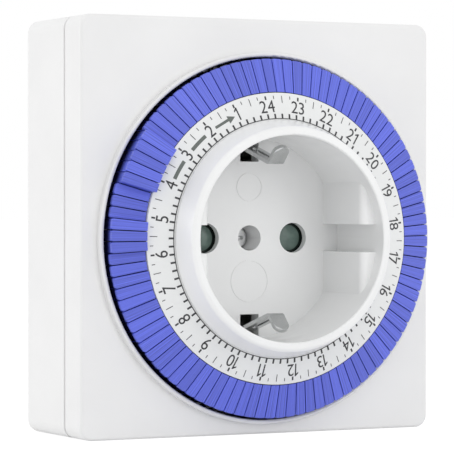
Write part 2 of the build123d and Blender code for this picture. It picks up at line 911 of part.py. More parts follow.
def make_switch_terminals():
    """Two tabs at the back of the switch, where its wires end."""
    y_front = at(switch_front_level - switch_height)
    tabs = []
    for side in (1, -1):
        middle = side * lead_spacing / 2
        tab = block(
            switch_inner_radius + terminal_inset,
            switch_inner_radius + terminal_inset + sheet,
            y_front,
            y_front + terminal_length,
            middle - terminal_width / 2,
            middle + terminal_width / 2,
        )
        tabs.append(turn_to(lever_clock, tab))
    return Compound(children=tabs)


parts["switch_terminals"] = make_switch_terminals()


def make_override_slider():
    """Plate behind the side wall, knob through its window and an arm over the lever's ear."""
    outer_x = body_right - wall - slider_wall_gap
    inner_x = outer_x - slider_plate
    y_mid = at(slider_level)
    plate = block(
        inner_x,
        outer_x,
        y_mid - slider_height / 2,
        y_mid + slider_height / 2,
        slider_z - slider_length / 2,
        slider_z + slider_length / 2,
    )
    knob = block(
        outer_x,
        body_right + slider_stand_out,
        y_mid - slider_knob_height / 2,
        y_mid + slider_knob_height / 2,
        slider_z - slider_knob_length / 2,
        slider_z + slider_knob_length / 2,
    )
    knob = fillet(knob.edges().group_by(Axis.X)[-1], slider_knob_round)
    knob_x = body_right + slider_stand_out
    for grip in range(slider_grips):
        z = slider_z + (grip - (slider_grips - 1) / 2) * slider_grip_pitch
        knob -= block(
            knob_x - slider_grip_depth,
            knob_x + 1,
            y_mid - slider_knob_height,
            y_mid + slider_knob_height,
            z - slider_grip_width / 2,
            z + slider_grip_width / 2,
        )
    low_z = slider_z - slider_length / 2
    ramp_z = ear_z + ear_width / 2 + ramp_lead
    end_z = ramp_z + slider_travel + ramp_end
    arm_x = math.sqrt((leg_outer_radius + slider_clearance) ** 2 - end_z**2)
    free_y = at(ear_level) - slider_clearance
    front_y = free_y - slider_arm_thickness
    arm = make_face(Polyline(
        (low_z, front_y),
        (low_z, free_y),
        (ramp_z, free_y),
        (ramp_z + slider_travel, free_y + slider_press),
        (end_z, free_y + slider_press),
        (end_z, front_y),
        close=True,
    ))
    plane = Plane(origin=(arm_x, 0, 0), x_dir=(0, 0, 1), z_dir=(-1, 0, 0))
    arm = extrude(plane * arm, amount=arm_x - outer_x)
    neck = block(inner_x, outer_x, front_y, y_mid, low_z, end_z)
    return plate + knob + arm + neck


parts["override_slider"] = make_override_slider()

# ---- Contacts, carrier and shutter ------------------------------------------------------

carrier_y = floor_back_y
carrier_back_y = carrier_y + carrier_plate
shutter_cap_y = floor_y + pin_hole_depth + shutter_gap + shutter_dome_height
shutter_front_y = shutter_cap_y + shutter_cap_side
shutter_back_y = shutter_front_y + shutter_thickness
stop_reach = shutter_pad_radius + stop_radius + stop_gap
stop_spread = 2 * math.degrees(math.asin(stop_reach / 2 / pin_x))
tulip_y = carrier_back_y


def make_contact_carrier():
    outline = Circle(recess_radius - carrier_fit) - Circle(screw_tube_radius + 0.1)
    spring_pocket = spring_radius + spring_wire
    for side in (1, -1):
        outline -= Pos(side * pin_x, 0) * Circle(pin_hole_radius + 0.1)
        outline -= Pos(0, side * (clip_slot_inner + 3)) * Rectangle(strap_width + 0.6, 6)
    plate = prism(outline, carrier_y, carrier_back_y)
    pocket_inner = tulip_radius + pocket_clearance
    for side in (1, -1):
        plate += tube(
            pocket_inner + pocket_wall,
            pocket_inner,
            carrier_back_y,
            carrier_back_y + pocket_length,
            side * pin_x,
        )
        for turn in (-stop_spread, shutter_turn + stop_spread):
            x, z = clock_point(pin_x, 90 * side + turn)
            plate += rod(stop_radius, floor_y + pin_hole_depth + stop_gap, carrier_y, x, z)
    return plate - rod(spring_pocket, carrier_y, carrier_y + 2 * spring_wire)


def make_pin_shutter():
    outline = Circle(shutter_hub_radius)
    for side in (1, -1):
        outline += Pos(side * pin_x, 0) * Circle(shutter_pad_radius)
    outline += Rectangle(2 * pin_x, shutter_bridge)
    outline -= Circle(screw_tube_radius + running_clearance)
    disc = prism(outline, shutter_front_y, shutter_back_y)
    chord = shutter_cap_radius
    ball = (chord**2 + shutter_dome_height**2) / (2 * shutter_dome_height)
    for side in (1, -1):
        centre_y = shutter_cap_y - shutter_dome_height + ball
        dome = Pos(side * pin_x, centre_y, 0) * Sphere(ball)
        disc += dome & rod(chord, shutter_cap_y - 1, shutter_front_y, side * pin_x)
    return disc


def make_shutter_spring():
    wire = Pos(spring_radius, carrier_y + spring_wire) * Circle(spring_wire / 2)
    return revolve(wire, axis=Axis.Y, revolution_arc=spring_arc)


def make_plug_pin(side):
    x = side * pin_x
    pin = rod(pin_radius, pin_relief, pin_length, x)
    pin = fillet(pin.edges().group_by(Axis.Y)[-1], pin_tip_round)
    pin += rod(pin_tail_radius, strip_y, pin_relief, x)
    shoulder_front = -hub_face_thickness - pin_shoulder_length
    return pin + rod(pin_shoulder_radius, shoulder_front, -hub_face_thickness, x)


def make_tulip():
    """Split sleeve for a plug pin, with a bead at its mouth, drawn on the axis."""
    y_end = tulip_y + tulip_length
    sleeve = tube(tulip_radius, tulip_bore, tulip_y, y_end)
    half = tulip_slit / 2
    slit = block(-half, half, tulip_y, y_end - tulip_ring, -2 * tulip_radius, 2 * tulip_radius)
    return sleeve - slit


strip_y = -hub_face_thickness - pin_inner_length
tulip_end_y = tulip_y + tulip_length


def make_neutral_contact():
    """Tulip, a strip to the rear and an eyelet round the neutral pin's inner end."""
    x = -pin_x
    contact = Pos(x, 0, 0) * make_tulip()
    half = contact_strip_width / 2
    base = Circle(tulip_radius) + Pos(0, -tulip_radius) * Rectangle(2 * half, 2 * sheet)
    contact += prism(Pos(x, 0) * base, tulip_end_y, tulip_end_y + sheet)
    back = strip_y + sheet
    z_low = -tulip_radius - sheet
    contact += block(x - half, x + half, tulip_end_y, back, z_low, z_low + sheet)
    neck = block(x - half, x + half, strip_y, back, z_low, -pin_tail_radius - sheet)
    eyelet = tube(pin_tail_radius + contact_eyelet, pin_tail_radius, strip_y, back, x)
    return contact + neck + eyelet


live_tab = (pin_x + live_tab_shift, live_tab_z)


def make_live_contact():
    """Tulip with a closed base and a tab for the wire from the switch."""
    contact = Pos(pin_x, 0, 0) * make_tulip()
    contact += rod(tulip_radius, tulip_end_y, tulip_end_y + sheet, pin_x)
    x, z = live_tab
    half = live_tab_width / 2
    contact += block(x - half, x + half, tulip_end_y, tulip_end_y + sheet, z, 0)
    tab_end = lead_y + 2 * lead_radius
    return contact + block(x - half, x + half, tulip_end_y, tab_end, z, z + sheet)


strap_offset = recess_radius - strap_inset


def strap_half():
    """The upper half of the earth strap: crossbar, clip root and plug contact."""
    half = strap_width / 2
    y_back = inner_back_y
    y_front = y_back - sheet
    bar = block(-half, half, y_front, y_back, 0, strap_offset)
    root_y = at(clip_root_level) + strap_root_lap
    bar += block(-half, half, root_y, y_back, strap_offset - sheet, strap_offset)
    z_low = earth_groove_floor + earth_contact_gap
    bar += block(-half, half, y_front, -earth_contact_end, z_low, z_low + sheet)
    return bar


def make_earth_yoke():
    upper = strap_half()
    yoke = upper + mirror(upper, about=Plane.XY)
    tube_hole = screw_tube_radius + strap_tube_gap
    yoke += rod(tube_hole + strap_ring, inner_back_y - sheet, inner_back_y)
    return yoke - rod(tube_hole, inner_back_y - 2, inner_back_y + 2)


def make_earth_clip():
    """Upper clip: root on the strap, slit leg to the apex, round tongue bent back out."""
    apex_z = recess_radius - clip_apex_depth
    tip_z = recess_radius - clip_tip_depth
    floor_z = recess_radius - clip_floor_depth
    root_z = strap_offset - sheet - clip_thickness / 2
    slope = (floor_z - apex_z) / (clip_apex_level - floor_level)
    bend_level = floor_level - (root_z - floor_z) / slope
    line = FilletPolyline(
        (at(clip_root_level) + clip_root_length, root_z),
        (at(bend_level), root_z),
        (at(clip_apex_level), apex_z),
        (at(clip_tip_level), tip_z),
        radius=clip_bend_round,
    )
    section = make_face(offset(line, amount=clip_thickness / 2, side=Side.BOTH))
    plane = Plane(origin=(0, 0, 0), x_dir=(0, 1, 0), z_dir=(1, 0, 0))
    clip = extrude(plane * section, amount=clip_width / 2, both=True)
    tip_plane = Plane(
        origin=(0, at(clip_tip_level), tip_z),
        x_dir=(1, 0, 0),
        z_dir=(0, tip_z - apex_z, clip_tip_level - clip_apex_level),
    )
    tongue = Pos(0, clip_width) * RectangleRounded(clip_width, 2 * clip_width, clip_tip_round)
    waste = Rectangle(2 * clip_width, 2 * clip_tip_round) - tongue
    clip -= extrude(tip_plane * waste, amount=clip_thickness, both=True)
    slit_front_y = at(clip_slit_front)
    slit_back_y = at(clip_slit_back)
    slit = RectangleRounded(clip_slit_width, slit_back_y - slit_front_y, 0.45 * clip_slit_width)
    slit = Pos(0, (slit_front_y + slit_back_y) / 2) * slit
    return clip - extrude(slit, amount=2 * recess_radius)


parts["contact_carrier"] = make_contact_carrier()
parts["pin_shutter"] = make_pin_shutter()
parts["shutter_spring"] = make_shutter_spring()
parts["live_pin"] = make_plug_pin(1)
parts["neutral_pin"] = make_plug_pin(-1)
parts["live_contact"] = make_live_contact()
parts["neutral_contact"] = make_neutral_contact()
parts["earth_yoke"] = make_earth_yoke()
parts["earth_clip_upper"] = make_earth_clip()
parts["earth_clip_lower"] = mirror(make_earth_clip(), about=Plane.XY)

# ---- Wires inside the body --------------------------------------------------------------


def make_lead(points):
    """Round insulated wire along a route, with arcs as large as its runs allow."""
    points = [Vector(*point) for point in points]
    runs = [end - start for start, end in zip(points, points[1:])]
    radii = []
    for before, after in zip(runs, runs[1:]):
        half_turn = math.radians(before.get_angle(after)) / 2
        radii.append(0.45 * min(before.length, after.length) / math.tan(half_turn))
    if len(radii) == 1:
        radii = radii[0]
    path = FilletPolyline(*points, radius=radii)
    section = Plane(origin=path @ 0, z_dir=path % 0) * Circle(lead_radius)
    return sweep(section, path=path)


def notch_points(clock, far_radius, near_radius, side):
    """Two route points through a notch: the outer end, and the inner end of the straight run."""
    points = []
    for radius in (far_radius, near_radius):
        x, z = local_point(clock, radius, side * lead_spacing / 2)
        points.append((x, lead_y, z))
    return points


def make_switch_leads():
    """From the live pin to the switch, and from the switch to the live contact."""
    tab_radius = switch_inner_radius + terminal_inset
    feed = notch_points(lever_clock, tab_radius, recess_radius - feed_lead_inset, 1)
    x = pin_x + lead_end_shift
    z = -lead_end_shift
    feed += [(x + 2.0, back_y + 0.5, z - 3.1), (x, strip_y - lead_end_run, z), (x, strip_y, z)]
    switched = notch_points(lever_clock, tab_radius, recess_radius - switched_lead_inset, -1)
    switched += [(live_tab[0], lead_y + 0.4, live_tab[1] - lead_end_gap)]
    return Compound(children=[make_lead(feed), make_lead(switched)])


def make_motor_leads():
    """From the motor to the neutral contact's strip and to the live pin."""
    can_side = motor_distance - motor_radius
    turn_radius = recess_radius - motor_lead_inset
    neutral = notch_points(motor_clock, can_side, turn_radius, 1)
    strip_top = -tulip_radius + lead_end_gap
    neutral += [(-pin_x - 0.5, back_y + 1.5, 4.5), (-pin_x, back_y + 2.5, strip_top)]
    live = notch_points(motor_clock, can_side, turn_radius, -1)
    x = pin_x - lead_end_shift
    z = lead_end_shift
    live += [(-2.0, back_y + 0.5, pin_x), (x - 3.1, back_y + 2.5, z + 5.1)]
    live += [(x, strip_y - lead_end_run, z), (x, strip_y, z)]
    return Compound(children=[make_lead(neutral), make_lead(live)])


parts["switch_leads"] = make_switch_leads()
parts["motor_leads"] = make_motor_leads()

# ---- Fasteners --------------------------------------------------------------------------


def make_housing_screw(x, z):
    head_y = back_y - screw_sink
    shank_end = seam_y - screw_grip
    screw = rod(screw_head_radius, head_y, head_y + screw_head_height, x, z)
    screw += rod(screw_radius, shank_end, head_y, x, z)
    return screw - cross_drive(head_y + screw_head_height, -1, drive_radius, x, z)


def make_centre_screw():
    seat_y = floor_y + screw_recess
    head_y = seat_y - centre_head_height
    screw = rod(screw_tube_bore - centre_head_gap, head_y, seat_y)
    screw = fillet(edges_at(screw, head_y), centre_head_round)
    screw += rod(screw_radius, seat_y, floor_y + screw_tube_length + centre_screw_grip)
    return screw - cross_drive(head_y, 1, centre_drive_radius)


parts["housing_screws"] = Compound(children=[make_housing_screw(x, z) for x, z in screw_points()])
parts["centre_screw"] = make_centre_screw()

# ---- Write ------------------------------------------------------------------------------

os.makedirs("parts", exist_ok=True)
for name, shape in parts.items():
    export_step(shape, f"parts/{name}.step")
    print(name, round(shape.volume, 2))
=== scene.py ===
import bpy
import json
import math
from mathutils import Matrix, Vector


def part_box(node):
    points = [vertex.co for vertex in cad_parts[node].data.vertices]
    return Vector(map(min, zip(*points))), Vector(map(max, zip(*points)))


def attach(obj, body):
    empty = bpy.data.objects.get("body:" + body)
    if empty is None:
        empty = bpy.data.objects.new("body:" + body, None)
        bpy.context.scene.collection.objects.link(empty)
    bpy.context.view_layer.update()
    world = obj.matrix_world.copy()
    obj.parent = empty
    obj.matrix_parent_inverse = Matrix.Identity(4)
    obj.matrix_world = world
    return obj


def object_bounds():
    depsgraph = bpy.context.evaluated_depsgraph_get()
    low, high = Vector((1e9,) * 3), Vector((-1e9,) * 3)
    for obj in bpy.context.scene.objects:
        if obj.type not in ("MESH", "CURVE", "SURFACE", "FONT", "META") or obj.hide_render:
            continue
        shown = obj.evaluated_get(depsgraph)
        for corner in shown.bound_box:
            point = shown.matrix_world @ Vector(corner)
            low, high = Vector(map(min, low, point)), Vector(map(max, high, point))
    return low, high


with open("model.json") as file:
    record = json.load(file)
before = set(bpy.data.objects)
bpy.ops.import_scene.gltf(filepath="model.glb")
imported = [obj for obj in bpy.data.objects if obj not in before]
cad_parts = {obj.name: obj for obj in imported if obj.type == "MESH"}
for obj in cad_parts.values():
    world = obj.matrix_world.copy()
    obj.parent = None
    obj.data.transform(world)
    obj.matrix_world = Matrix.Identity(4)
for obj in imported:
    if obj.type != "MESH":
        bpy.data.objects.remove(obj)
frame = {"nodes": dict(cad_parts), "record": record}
for leftover in ("Cube", "Light", "Camera"):
    if leftover in bpy.data.objects:
        bpy.data.objects.remove(bpy.data.objects[leftover])
cad_box = [list(corner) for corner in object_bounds()]

MM = 0.001
nodes = frame["nodes"]

# ---- Places on the dial, in metres -------------------------------------------------------
HOURS = 24
PER_HOUR = 4
QUARTERS = HOURS * PER_HOUR
HOUR_24_CLOCK = -6.3
SCALE_INNER = 21.7 * MM
SCALE_SLOPE = 0.275
SCALE_FRONT_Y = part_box("dial_ring")[0][1]
# The print stands this far above the scale, and reaches this far into it.
PRINT_HEIGHT = 0.03 * MM
PRINT_SINK = 0.02 * MM


def clock_of(hour):
    """Clock angle, in degrees from the top, of an hour on the dial."""
    return HOUR_24_CLOCK + (HOURS - hour) * 360 / HOURS


def scale_y(radius):
    """Y of the cone-shaped scale surface at a radius."""
    return SCALE_FRONT_Y + SCALE_SLOPE * (radius - SCALE_INNER)


def on_scale(radius, clock, height):
    """Point above the scale surface at a clock angle in degrees."""
    turn = math.radians(clock)
    return Vector((radius * math.sin(turn), scale_y(radius) - height, radius * math.cos(turn)))


# ---- Node helpers ------------------------------------------------------------------------
class Shader:
    """A material with a Principled shader and short ways to add nodes to it."""

    def __init__(self, name):
        self.material = bpy.data.materials.new(name)
        self.material.use_nodes = True
        self.tree = self.material.node_tree
        self.main = self.tree.nodes["Principled BSDF"]
        places = self.node("ShaderNodeTexCoord")
        self.coords = places.outputs["Object"]
        self.normals = places.outputs["Normal"]

    def node(self, kind, **values):
        """A node; keys that name an input set or link it, and the others are properties."""
        made = self.tree.nodes.new(kind)
        for key, value in values.items():
            if key in made.inputs:
                self.feed(made.inputs[key], value)
            else:
                setattr(made, key, value)
        return made

    def feed(self, socket, value):
        """Link an output to the socket, or set the socket's own value."""
        if isinstance(value, bpy.types.NodeSocket):
            self.tree.links.new(value, socket)
        else:
            socket.default_value = value

    def set(self, **values):
        """Set inputs of the main shader, with _ for a space in a name."""
        for key, value in values.items():
            self.feed(self.main.inputs[key.replace("_", " ")], value)

    def math(self, operation, first, second=0.0):
        made = self.node("ShaderNodeMath", operation=operation)
        self.feed(made.inputs[0], first)
        self.feed(made.inputs[1], second)
        return made.outputs[0]

    def noise(self, size, detail=2.0, stretch=(1, 1, 1)):
        """Noise whose features are about size metres across."""
        scaled = self.node("ShaderNodeMapping", Vector=self.coords, Scale=stretch)
        made = self.node(
            "ShaderNodeTexNoise",
            Vector=scaled.outputs[0],
            Scale=1 / size,
            Detail=detail,
            Roughness=0.5,
        )
        return made.outputs["Fac"]

    def ramp(self, factor, low, high, start=0.3, end=0.7):
        """Blend from colour low to colour high as factor goes from start to end."""
        made = self.node("ShaderNodeValToRGB", Fac=factor)
        stops = made.color_ramp.elements
        stops[0].position = start
        stops[0].color = (*low, 1)
        stops[1].position = end
        stops[1].color = (*high, 1)
        return made.outputs["Color"]

    def span(self, factor, low, high, start=0.3, end=0.7):
        """Map factor from start..end to low..high."""
        made = self.node("ShaderNodeMapRange", Value=factor)
        made.inputs["From Min"].default_value = start
        made.inputs["From Max"].default_value = end
        made.inputs["To Min"].default_value = low
        made.inputs["To Max"].default_value = high
        return made.outputs[0]

    def bump(self, height, distance):
        made = self.node("ShaderNodeBump", Height=height, Distance=distance, Strength=1.0)
        return made.outputs["Normal"]

    def blend(self, factor, first, second):
        """Mix a linked colour with a plain one, which takes over as factor goes to 1."""
        made = self.node("ShaderNodeMix", data_type="RGBA", Factor=factor)
        self.feed(made.inputs["A"], first)
        made.inputs["B"].default_value = (*second, 1)
        return made.outputs["Result"]


def shade(colour, factor):
    return tuple(channel * factor for channel in colour)


def moulded(name, colour, gloss, grain=0.35 * MM, depth=0.006 * MM, spread=0.04):
    """Moulded plastic: faint flow clouds, uneven gloss and a fine spark-eroded grain."""
    made = Shader(name)
    clouds = made.noise(18 * MM, 3)
    made.set(Base_Color=made.ramp(clouds, shade(colour, 1 - spread), colour))
    made.set(Roughness=made.span(made.noise(4 * MM, 4), gloss - 0.04, gloss + 0.05))
    made.set(Normal=made.bump(made.noise(grain, 3), depth))
    return made


# ---- Materials ---------------------------------------------------------------------------
WHITE = (0.82, 0.82, 0.82)
SOCKET = (0.86, 0.865, 0.865)
DIAL = (0.80, 0.81, 0.81)
BLUE = (0.112, 0.146, 0.70)
BLUE_DARKEST = 0.74
BLUE_PALEST = 1.16
STREAKS_PER_SEGMENT = 8.0
STREAK_STRENGTH = 2.1
TONE_SPREAD = (0.35, 0.65)

# Painted shade: a segment's wall that faces outwards is painted darker towards the gap inside the
# cover's lip, where shade falls.
PAINTED_GAP_SHADE = (0.008, 0.008, 0.05)
LIP_HEIGHT = 1.45 * MM
FACE_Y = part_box("front_cover")[0][1] + LIP_HEIGHT
DEEP_START_Y = FACE_Y - 2.8 * MM
DEEP_END_Y = FACE_Y - 0.8 * MM

# The shutter's two caps show through the pin holes; painted shade makes the disc round each cap
# near black, where the gap to the hole's wall lies in shade.
SHUTTER = (0.13, 0.19, 0.165)
SHUTTER_GAP_SHADE = 0.12
ENTRY_X = 9.5 * MM
CAP_RADIUS = 2.5 * MM


def outward_share(made):
    """1 on walls that face away from the dial's axis, 0 on the others."""
    flat = made.node("ShaderNodeVectorMath", operation="MULTIPLY")
    made.feed(flat.inputs[0], made.coords)
    flat.inputs[1].default_value = (1, 0, 1)
    radial = made.node("ShaderNodeVectorMath", operation="NORMALIZE")
    made.feed(radial.inputs[0], flat.outputs[0])
    along = made.node("ShaderNodeVectorMath", operation="DOT_PRODUCT")
    made.feed(along.inputs[0], radial.outputs[0])
    made.feed(along.inputs[1], made.normals)
    return made.span(along.outputs["Value"], 0.0, 1.0, 0.5, 0.85)


def segment_material():
    """Blue plastic: a slightly different tone per segment, fine streaks along its length, and
    painted shade on the outward walls near the cover's lip.
    """
    made = Shader("segment_blue")
    place = made.node("ShaderNodeSeparateXYZ", Vector=made.coords)
    angle = made.math("ARCTAN2", place.outputs["X"], place.outputs["Z"])
    step = made.math("MULTIPLY", angle, QUARTERS / (2 * math.pi))
    offset = made.math("ADD", step, 0.5 - HOUR_24_CLOCK * QUARTERS / 360)
    number = made.math("FLOOR", offset)
    tone = made.node("ShaderNodeTexWhiteNoise", noise_dimensions="1D", W=number).outputs["Value"]
    fine = made.node(
        "ShaderNodeTexNoise",
        noise_dimensions="1D",
        W=step,
        Scale=STREAKS_PER_SEGMENT,
        Detail=3.0,
    )
    patch = made.span(made.noise(3.5 * MM, 2), 0.3, 1.0, 0.35, 0.65)
    streak = made.math("MULTIPLY", made.math("SUBTRACT", fine.outputs["Fac"], 0.5), patch)
    spread = made.math("MULTIPLY", streak, STREAK_STRENGTH)
    factor = made.math("ADD", spread, made.span(tone, *TONE_SPREAD, 0.0, 1.0))
    top = made.ramp(factor, shade(BLUE, BLUE_DARKEST), shade(BLUE, BLUE_PALEST), 0.2, 0.8)
    deep = made.span(place.outputs["Y"], 0.0, 1.0, DEEP_START_Y, DEEP_END_Y)
    gap_shade_mask = made.math("MULTIPLY", outward_share(made), deep)
    # Painted shade: outward walls deep in the gap blend to dark navy.
    made.set(Base_Color=made.blend(gap_shade_mask, top, PAINTED_GAP_SHADE))
    made.set(Roughness=made.span(made.noise(3 * MM, 3), 0.30, 0.42))
    made.set(Normal=made.bump(made.noise(0.3 * MM, 2), 0.005 * MM))
    return made.material


def shutter_material():
    """Grey-green plastic on the caps, with painted shade making the disc round them near black."""
    made = moulded("shutter_grey", SHUTTER, 0.14, spread=0.18)
    place = made.node("ShaderNodeSeparateXYZ", Vector=made.coords)
    across = made.math("SUBTRACT", made.math("ABSOLUTE", place.outputs["X"]), ENTRY_X)
    squares = [made.math("MULTIPLY", side, side) for side in (across, place.outputs["Z"])]
    reach = made.math("SQRT", made.math("ADD", *squares))
    cap_gap_shade_mask = made.span(reach, 0.0, 1.0, CAP_RADIUS - 0.15 * MM, CAP_RADIUS + 0.05 * MM)
    clouds = made.ramp(made.noise(1.6 * MM, 3), shade(SHUTTER, 0.7), SHUTTER)
    # Painted shade: the disc round each cap goes near black.
    made.set(Base_Color=made.blend(cap_gap_shade_mask, clouds, shade(SHUTTER, SHUTTER_GAP_SHADE)))
    return made.material


def metal(name, colour, roughness, stretch=(1, 1, 12), scratch=0.25 * MM):
    """Metal with fine scratches across the stretched axis and a slightly cloudy tone."""
    made = Shader(name)
    lines = made.noise(scratch, 4, stretch)
    made.set(Metallic=1.0)
    made.set(Base_Color=made.ramp(made.noise(2.5 * MM, 3), shade(colour, 0.86), colour))
    made.set(Roughness=made.span(lines, roughness - 0.07, roughness + 0.1))
    made.set(Normal=made.bump(lines, 0.004 * MM))
    return made.material


MATERIALS = {
    "housing_white": moulded("housing_white", WHITE, 0.34).material,
    "socket_white": moulded("socket_white", SOCKET, 0.22, depth=0.003 * MM).material,
    "dial_white": moulded("dial_white", DIAL, 0.40).material,
    "segment_blue": segment_material(),
    "slider_blue": moulded("slider_blue", BLUE, 0.32, spread=0.12).material,
    "shutter_grey": shutter_material(),
    "gear_plastic": moulded("gear_plastic", (0.72, 0.69, 0.60), 0.42, spread=0.1).material,
    "lever_plastic": moulded("lever_plastic", (0.52, 0.06, 0.035), 0.40, spread=0.12).material,
    "switch_black": moulded("switch_black", (0.018, 0.018, 0.019), 0.38, spread=0.2).material,
    "carrier_plastic": moulded("carrier_plastic", (0.45, 0.42, 0.35), 0.48, spread=0.1).material,
    "steel": metal("steel", (0.95, 0.955, 0.96), 0.40),
    "clip_steel": metal("clip_steel", (0.60, 0.61, 0.61), 0.18, (14, 1, 1)),
    "pin_plated": metal("pin_plated", (0.72, 0.69, 0.62), 0.20, (1, 10, 1)),
    "contact_brass": metal("contact_brass", (0.62, 0.44, 0.16), 0.30, (1, 10, 1)),
    "wire_brown": moulded("wire_brown", (0.085, 0.03, 0.015), 0.45, spread=0.15).material,
    "wire_blue": moulded("wire_blue", (0.02, 0.07, 0.35), 0.45, spread=0.15).material,
}
INK = (0.04, 0.04, 0.045)
INK_PALE = (0.145, 0.165, 0.152)
INK_GRAIN = 0.15 * MM
PRINT = moulded("print_grey", INK, 0.55, grain=INK_GRAIN, spread=0.35).material
PRINT_PALE = moulded("print_pale", INK_PALE, 0.55, grain=INK_GRAIN, spread=0.25).material

for part in frame["record"]["subparts"]:
    piece = nodes[part["node"]]
    for number in range(len(piece.material_slots)):
        piece.material_slots[number].material = MATERIALS[part["material_slot"]]


# ---- Rounded edges on the segments and the earth clips -----------------------------------
EDGE_WIDTH = 0.12 * MM
EDGE_ANGLE = 30


def round_edges(piece):
    """Small bevel on the sharp edges, shaded as a rounded edge."""
    weld = piece.modifiers.new("weld", "WELD")
    weld.merge_threshold = 0.001 * MM
    bevel = piece.modifiers.new("bevel", "BEVEL")
    bevel.width = EDGE_WIDTH
    bevel.segments = 2
    bevel.limit_method = "ANGLE"
    bevel.angle_limit = math.radians(EDGE_ANGLE)
    normals = piece.modifiers.new("normals", "WEIGHTED_NORMAL")
    normals.keep_sharp = False


for name in nodes:
    if name.startswith(("segment", "earth_clip")):
        round_edges(nodes[name])


# ---- Print on the dial -------------------------------------------------------------------
DIGIT_HEIGHT = 2.42 * MM
DIGIT_MIDDLE = 25.05 * MM
DIGIT_WIDTH = 0.94
FIGURE_GAP = 0.28 * MM
FONT_CAP_SHARE = 0.73
# The figure 1, as shares of the figures' height.
FIGURE_ONE = [(0.19, 0), (0.30, 0), (0.30, 1), (0.22, 1), (0, 0.80), (0, 0.69), (0.19, 0.81)]
OUTER_TICK_START = 26.95 * MM
INNER_LINE = 22.63 * MM
LINE_WIDTH = 0.155 * MM
LINE_PARTS = 48
LINE_STEPS = 4
# Width and length of each kind of tick.
HOUR_TICK = (0.32 * MM, 0.70 * MM)
HALF_TICK = (0.13 * MM, 1.35 * MM)
QUARTER_TICK = (0.13 * MM, 0.60 * MM)
INNER_TICK = (0.35 * MM, 0.92 * MM)
INNER_TICK_TURN = -0.7
# The dashes and the arrow that show which way the dial turns; the arrow's lengths are in
# degrees round the dial.
DASH_LENGTH = 3.82 * MM
DASH_WIDTH = 0.66 * MM
DASH_RADIUS = 24.8 * MM
DASH_HOURS = (3.5, 2.5)
DASH_STEPS = 8
ARROW_HOUR = 1.5
ARROW_TIP = 6.0
ARROW_TAIL = 4.6
ARROW_HEAD_LENGTH = 3.5
ARROW_HEAD_REACH = 0.75 * MM
ARROW_SHAFT = 0.5 * MM


def bent_mesh(name, flats, material=PRINT):
    """Thin closed solids on the scale; each flat is a list of (clock, radius) outline points."""
    verts = []
    faces = []
    for outline in flats:
        first = len(verts)
        count = len(outline)
        for height in (-PRINT_SINK, PRINT_HEIGHT):
            verts += [on_scale(radius, clock, height) for clock, radius in outline]
        faces.append(list(range(first + count - 1, first - 1, -1)))
        faces.append(list(range(first + count, first + 2 * count)))
        for index in range(count):
            following = (index + 1) % count
            faces.append((
                first + index,
                first + following,
                first + count + following,
                first + count + index,
            ))
    mesh = bpy.data.meshes.new(name)
    mesh.from_pydata(verts, [], faces)
    mesh.materials.append(material)
    mesh.validate()
    piece = bpy.data.objects.new(name, mesh)
    bpy.context.scene.collection.objects.link(piece)
    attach(piece, "dial")


def bar(clock, radius_low, radius_high, width):
    """Outline of a radial bar of even width."""
    points = []
    for side, radius in ((-1, radius_low), (1, radius_low), (1, radius_high), (-1, radius_high)):
        points.append((clock + math.degrees(side * width / 2 / radius), radius))
    return points


def print_ticks():
    """The ticks along the scale's outer edge and those on the inner circle."""
    flats = []
    for quarter in range(QUARTERS):
        clock = HOUR_24_CLOCK + quarter * 360 / QUARTERS
        if quarter % PER_HOUR == 0:
            width, length = HOUR_TICK
        elif quarter % PER_HOUR == PER_HOUR // 2:
            width, length = HALF_TICK
        else:
            width, length = QUARTER_TICK
        flats.append(bar(clock, OUTER_TICK_START - length, OUTER_TICK_START, width))
        width, length = INNER_TICK
        flats.append(bar(clock + INNER_TICK_TURN, INNER_LINE, INNER_LINE + length, width))
    bent_mesh("print_ticks", flats)


def arc_band(clock, half_turn, radius_low, radius_high, steps):
    """Outline of a curved band between two radii."""
    turns = [clock - half_turn + 2 * half_turn * step / steps for step in range(steps + 1)]
    return [(turn, radius_low) for turn in turns] + [(turn, radius_high) for turn in turns[::-1]]


def print_line():
    """The thin circle inside the inner ticks, as a run of short curved bands."""
    half_turn = 180 / LINE_PARTS
    low = INNER_LINE - LINE_WIDTH / 2
    high = INNER_LINE + LINE_WIDTH / 2
    flats = []
    for part in range(LINE_PARTS):
        flats.append(arc_band(part * 2 * half_turn, half_turn, low, high, LINE_STEPS))
    bent_mesh("print_line", flats)


def print_dashes():
    """Two curved dashes and the arrow that points the way the dial turns."""
    half_turn = math.degrees(DASH_LENGTH / 2 / DASH_RADIUS)
    low = DASH_RADIUS - DASH_WIDTH / 2
    high = DASH_RADIUS + DASH_WIDTH / 2
    flats = []
    for hour in DASH_HOURS:
        flats.append(arc_band(clock_of(hour), half_turn, low, high, DASH_STEPS))
    tip = clock_of(ARROW_HOUR) + ARROW_TIP
    tail = clock_of(ARROW_HOUR) - ARROW_TAIL
    neck = tip - ARROW_HEAD_LENGTH
    head = ARROW_HEAD_REACH
    shaft = ARROW_SHAFT / 2
    flats.append([
        (tail, DASH_RADIUS - shaft),
        (neck, DASH_RADIUS - shaft),
        (neck, DASH_RADIUS - head),
        (tip, DASH_RADIUS),
        (neck, DASH_RADIUS + head),
        (neck, DASH_RADIUS + shaft),
        (tail, DASH_RADIUS + shaft),
    ])
    bent_mesh("print_arrow_and_dashes", flats, PRINT_PALE)


